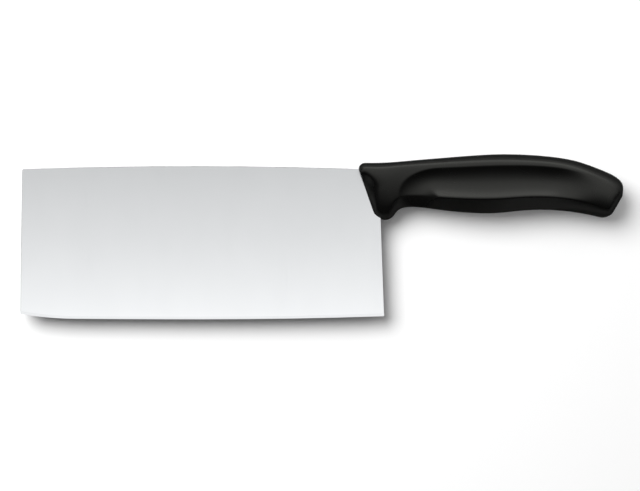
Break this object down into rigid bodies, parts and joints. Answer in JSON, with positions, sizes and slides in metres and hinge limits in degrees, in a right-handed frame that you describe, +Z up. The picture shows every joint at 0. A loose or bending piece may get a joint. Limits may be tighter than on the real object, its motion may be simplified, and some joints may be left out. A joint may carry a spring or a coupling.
{
  "type": "chinese cleaver",
  "caption": "Broad rectangular stainless cleaver blade with a black moulded plastic handle and a finger guard.",
  "frame": {"origin": "centre of the knife's box on the surface that it lies on; the widest part of the handle touches it", "axes": "+X from the blade's nose to the butt of the handle, +Y from the cutting edge to the spine, +Z up, square to the blade's parallel faces"},
  "size_m": [0.298, 0.0816, 0.0217],
  "materials": {
    "blade_steel": "fine satin grind, ground bevel",
    "handle_plastic": "black, satin moulded"
  },
  "bodies": {
    "root": {"blade": "blade_steel", "handle": "handle_plastic"}
  },
  "joints": []
}
